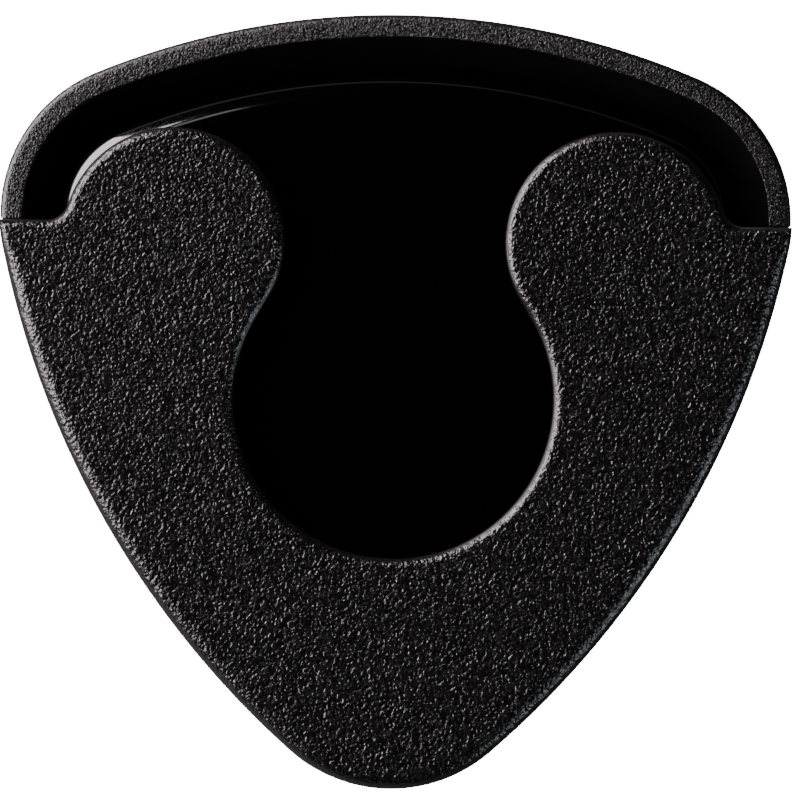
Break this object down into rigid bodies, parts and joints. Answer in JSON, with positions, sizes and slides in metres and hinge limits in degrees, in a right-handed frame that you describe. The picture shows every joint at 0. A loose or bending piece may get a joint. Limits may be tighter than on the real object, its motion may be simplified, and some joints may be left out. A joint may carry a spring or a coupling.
{
  "type": "pick holder",
  "caption": "Stick-on holder for guitar picks: a rounded triangular case with a keyhole front, a sprung plate that holds the picks and a foam adhesive back.",
  "frame": {"origin": "middle of the holder's footprint, on the outer face of the release liner, which is the surface the holder rests on", "axes": "the holder lies on its back: +X to the right across the shoulders as seen from the front, +Y from the tip towards the mouth, +Z out of the front face"},
  "size_m": [0.036, 0.0352, 0.0095],
  "materials": {
    "grained_plastic": "matte",
    "gloss_plastic": "gloss",
    "spring_steel": "satin",
    "adhesive": "gloss",
    "foam": "matte",
    "liner_paper": "satin"
  },
  "bodies": {
    "holder": {"rear_shell": "grained_plastic", "front_cover": "grained_plastic", "leaf_spring": "spring_steel", "shell_adhesive": "adhesive", "foam_pad": "foam", "mounting_adhesive": "adhesive"},
    "plate": {"pressure_plate": "gloss_plastic"},
    "liner": {"release_liner": "liner_paper"}
  },
  "joints": [
    {"name": "plate_press", "type": "slide", "parent": "holder", "child": "plate", "axis": [0, 0, -1], "range_m": [0, 0.0035], "stiffness_N_per_m": 300, "springref_m": -0.003, "deforming": ["leaf_spring"]},
    {"name": "liner_peel", "type": "slide", "parent": "holder", "child": "liner", "axis": [0, 1, 0], "range_m": [0, 0.036]}
  ]
}
